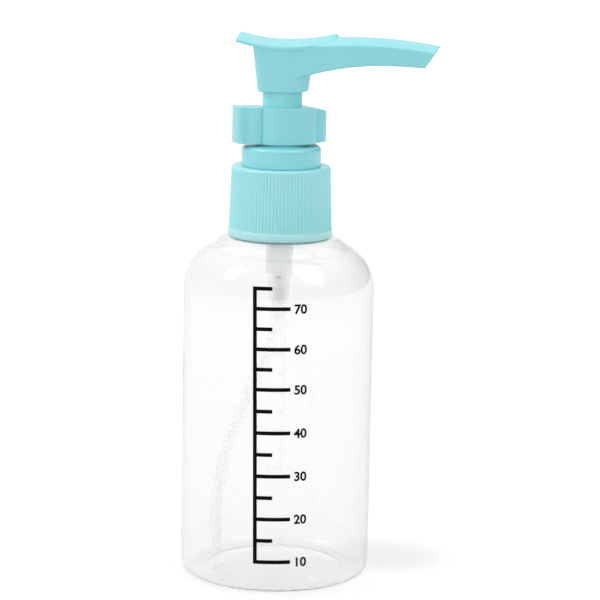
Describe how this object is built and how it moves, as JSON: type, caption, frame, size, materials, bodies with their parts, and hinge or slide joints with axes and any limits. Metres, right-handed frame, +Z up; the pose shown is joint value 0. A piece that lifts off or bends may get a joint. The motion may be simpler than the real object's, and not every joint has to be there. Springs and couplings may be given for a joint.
{
  "type": "pump oil bottle",
  "caption": "Clear round bottle with a printed volume scale and a pale aqua screw-on lotion pump held up by a pull-off lock clip.",
  "frame": {"origin": "centre of the ring that the bottle stands on, at floor level", "axes": "+Z up the bottle's axis, +X the way the spout points, the printed scale faces -Y"},
  "size_m": [0.0524, 0.0401, 0.1146],
  "materials": {
    "clear_plastic": "clear blown PET, glossy",
    "black_ink": "screen-printed black ink",
    "collar_plastic": "satin moulded polypropylene with fine ribs",
    "gasket_foam": "foamed polyethylene",
    "housing_plastic": "natural translucent polypropylene",
    "pump_plastic": "satin moulded polypropylene",
    "tube_plastic": "natural polyethylene tube",
    "ball_steel": "polished stainless steel",
    "piston_plastic": "natural polyethylene",
    "spring_steel": "drawn stainless wire",
    "clip_plastic": "satin moulded polypropylene",
    "head_plastic": "satin moulded polypropylene"
  },
  "bodies": {
    "bottle_body": {"bottle": "clear_plastic", "scale_print": "black_ink"},
    "pump_body": {"pump_housing": "housing_plastic", "neck_gasket": "gasket_foam", "chaplet": "pump_plastic", "dip_tube": "tube_plastic", "return_spring": "spring_steel"},
    "collar_body": {"screw_collar": "collar_plastic"},
    "plunger_body": {"stem": "pump_plastic", "piston": "piston_plastic"},
    "head_body": {"actuator_head": "head_plastic"},
    "clip_body": {"lock_clip": "clip_plastic"},
    "inlet_valve": {"inlet_ball": "ball_steel"},
    "outlet_valve": {"outlet_ball": "ball_steel"}
  },
  "joints": [
    {"name": "pump_lift", "type": "slide", "parent": "bottle_body", "child": "pump_body", "axis": [0, 0, 1], "range_m": [0, 0.00477]},
    {"name": "collar_turn", "type": "hinge", "parent": "pump_body", "child": "collar_body", "pos_m": [0, 0, 0.08], "axis": [0, 0, 1], "range_deg": [0, 540]},
    {"name": "pump_stroke", "type": "slide", "parent": "pump_body", "child": "plunger_body", "axis": [0, 0, -1], "range_m": [0, 0.003], "stiffness_N_per_m": 300, "springref_m": -0.004, "deforming": ["return_spring"]},
    {"name": "head_turn", "type": "hinge", "parent": "plunger_body", "child": "head_body", "pos_m": [0, 0, 0.105], "axis": [0, 0, 1], "continuous": true},
    {"name": "clip_pull", "type": "slide", "parent": "pump_body", "child": "clip_body", "axis": [0.4384, -0.8988, 0], "range_m": [0, 0.025]},
    {"name": "inlet_lift", "type": "slide", "parent": "pump_body", "child": "inlet_valve", "axis": [0, 0, 1], "range_m": [0, 0.0005]},
    {"name": "outlet_lift", "type": "slide", "parent": "plunger_body", "child": "outlet_valve", "axis": [0, 0, 1], "range_m": [0, 0.00035]}
  ],
  "couplings": [
    {"joint": "pump_lift", "follows": "collar_turn", "m_per_rad": 0.00050532}
  ]
}
